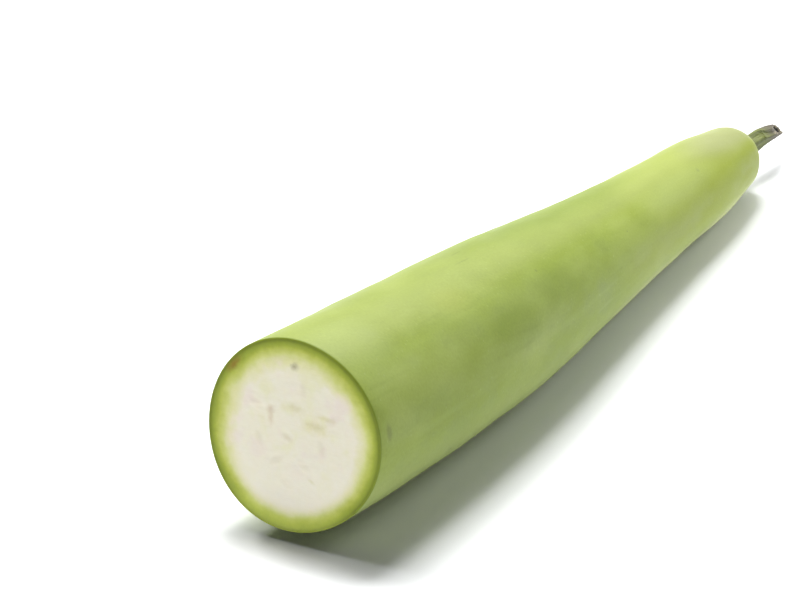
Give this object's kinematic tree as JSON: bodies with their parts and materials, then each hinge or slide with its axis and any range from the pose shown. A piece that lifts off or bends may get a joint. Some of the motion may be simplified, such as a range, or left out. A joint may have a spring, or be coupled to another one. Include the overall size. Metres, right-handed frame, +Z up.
{
  "type": "bottle gourd",
  "caption": "Stem half of a long bottle gourd lying on its side, cut straight across the belly, tapering to a rounded neck with a dried, ribbed stem stub.",
  "frame": {"origin": "on the surface that the gourd lies on, under the middle of its whole extent", "axes": "+X from the cut face towards the stem, +Z up"},
  "size_m": [0.4486, 0.077, 0.0787],
  "materials": {
    "rind": "smooth satin skin, with a pale flat cut face",
    "stem": "dry and ribbed, with a slanting grey-brown tip"
  },
  "bodies": {
    "root": {"fruit": "rind", "stem": "stem"}
  },
  "joints": []
}
